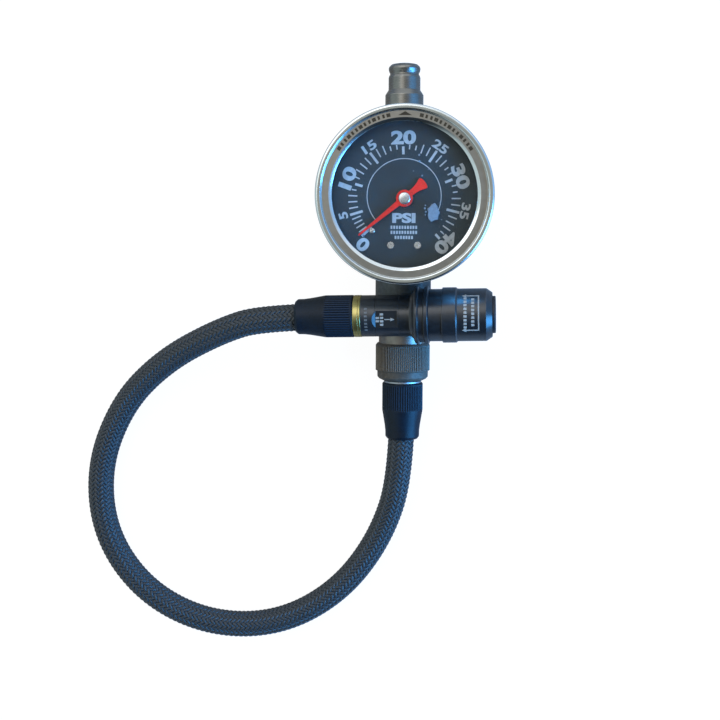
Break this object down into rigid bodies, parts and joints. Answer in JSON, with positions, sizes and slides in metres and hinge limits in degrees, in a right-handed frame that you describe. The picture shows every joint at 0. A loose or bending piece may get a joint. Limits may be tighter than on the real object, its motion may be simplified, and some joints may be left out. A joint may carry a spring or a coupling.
{
  "type": "tire deflator with gauge",
  "caption": "Tyre deflator: dial pressure gauge on a round air column with a sliding vent collar, and a braided hose to a push-on valve chuck with a pull-back sleeve.",
  "frame": {"origin": "on the air column's axis, at the middle of the inlet plug's coupling barrel", "axes": "+Y up the column and out of the inlet plug, +Z out of the dial, +X to the right of the dial"},
  "size_m": [0.174, 0.2455, 0.0563],
  "materials": {
    "column_black": "dark anodised, satin",
    "plug_gunmetal": "dark plated, semi-bright",
    "stem_nickel": "bright nickel plate",
    "collar_grey": "dark grey anodised",
    "chuck_black": "black anodised, semi-gloss",
    "boot_rubber": "moulded, satin",
    "seal_rubber": "matt",
    "hose_braid": "polyester braid over a rubber core",
    "fitting_brass": "bright turned",
    "movement_brass": "machined",
    "spring_steel": "plain",
    "ball_steel": "polished",
    "case_steel": "bright stainless",
    "bezel_steel": "polished stainless",
    "window_glass": "clear",
    "dial_black": "satin black with pale print",
    "pointer_red": "red enamel",
    "cap_silver": "bright"
  },
  "bodies": {
    "manifold": {"air_column": "column_black", "inlet_plug": "plug_gunmetal", "poppet_guide": "movement_brass", "poppet_spring": "spring_steel", "vent_stem": "stem_nickel", "upper_collar_seal": "seal_rubber", "lower_collar_seal": "seal_rubber", "collar_retainer": "stem_nickel", "lower_boot": "boot_rubber", "lower_ferrule": "spring_steel", "air_hose": "hose_braid", "chuck_boot": "boot_rubber", "chuck_ferrule": "spring_steel", "brass_fitting": "fitting_brass", "chuck_barrel": "chuck_black", "chuck_housing": "chuck_black", "sleeve_spring": "spring_steel", "grip_balls": "ball_steel", "nose_seal": "seal_rubber", "valve_washer": "seal_rubber", "core_pin": "movement_brass", "gauge_case": "case_steel", "gauge_bezel": "bezel_steel", "gauge_window": "window_glass", "window_gasket": "seal_rubber", "fill_plug": "seal_rubber", "gauge_socket": "movement_brass", "connection_nut": "movement_brass", "bourdon_tube": "movement_brass", "tube_tip_block": "movement_brass", "movement_frame": "movement_brass", "gauge_dial": "dial_black", "dial_posts": "movement_brass", "dial_screws": "cap_silver", "stop_pin": "cap_silver"},
    "pointer": {"pointer": "pointer_red", "pointer_cap": "cap_silver", "pointer_arbor": "spring_steel"},
    "sector": {"sector_gear": "movement_brass"},
    "link": {"link_bar": "movement_brass"},
    "collar": {"vent_collar": "collar_grey"},
    "sleeve": {"release_sleeve": "chuck_black"},
    "poppet": {"inlet_poppet": "movement_brass"}
  },
  "joints": [
    {"name": "sector_swing", "type": "hinge", "parent": "manifold", "child": "sector", "pos_m": [-0.01474, -0.05857, 0.0286], "axis": [0, 0, 1], "range_deg": [0, 33.4], "stiffness_Nm_per_rad": 0.001},
    {"name": "pointer_turn", "type": "hinge", "parent": "manifold", "child": "pointer", "pos_m": [0, -0.04825, 0.036], "axis": [0, 0, 1], "range_deg": [-267.3, 0]},
    {"name": "link_swing", "type": "hinge", "parent": "sector", "child": "link", "pos_m": [-0.01909, -0.05741, 0.0297], "axis": [0, 0, 1], "range_deg": [-33.5, 0]},
    {"name": "collar_slide", "type": "slide", "parent": "manifold", "child": "collar", "axis": [0, 1, 0], "range_m": [0, 0.005]},
    {"name": "sleeve_pull", "type": "slide", "parent": "manifold", "child": "sleeve", "axis": [-0.995, -0.0226, -0.0976], "range_m": [0, 0.0035], "stiffness_N_per_m": 1500, "deforming": ["sleeve_spring"]},
    {"name": "poppet_push", "type": "slide", "parent": "manifold", "child": "poppet", "axis": [0, -1, 0], "range_m": [0, 0.0016], "stiffness_N_per_m": 400, "deforming": ["poppet_spring"]}
  ],
  "couplings": [
    {"joint": "pointer_turn", "follows": "sector_swing", "ratio": -8},
    {"joint": "link_swing", "follows": "sector_swing", "ratio": -1}
  ]
}
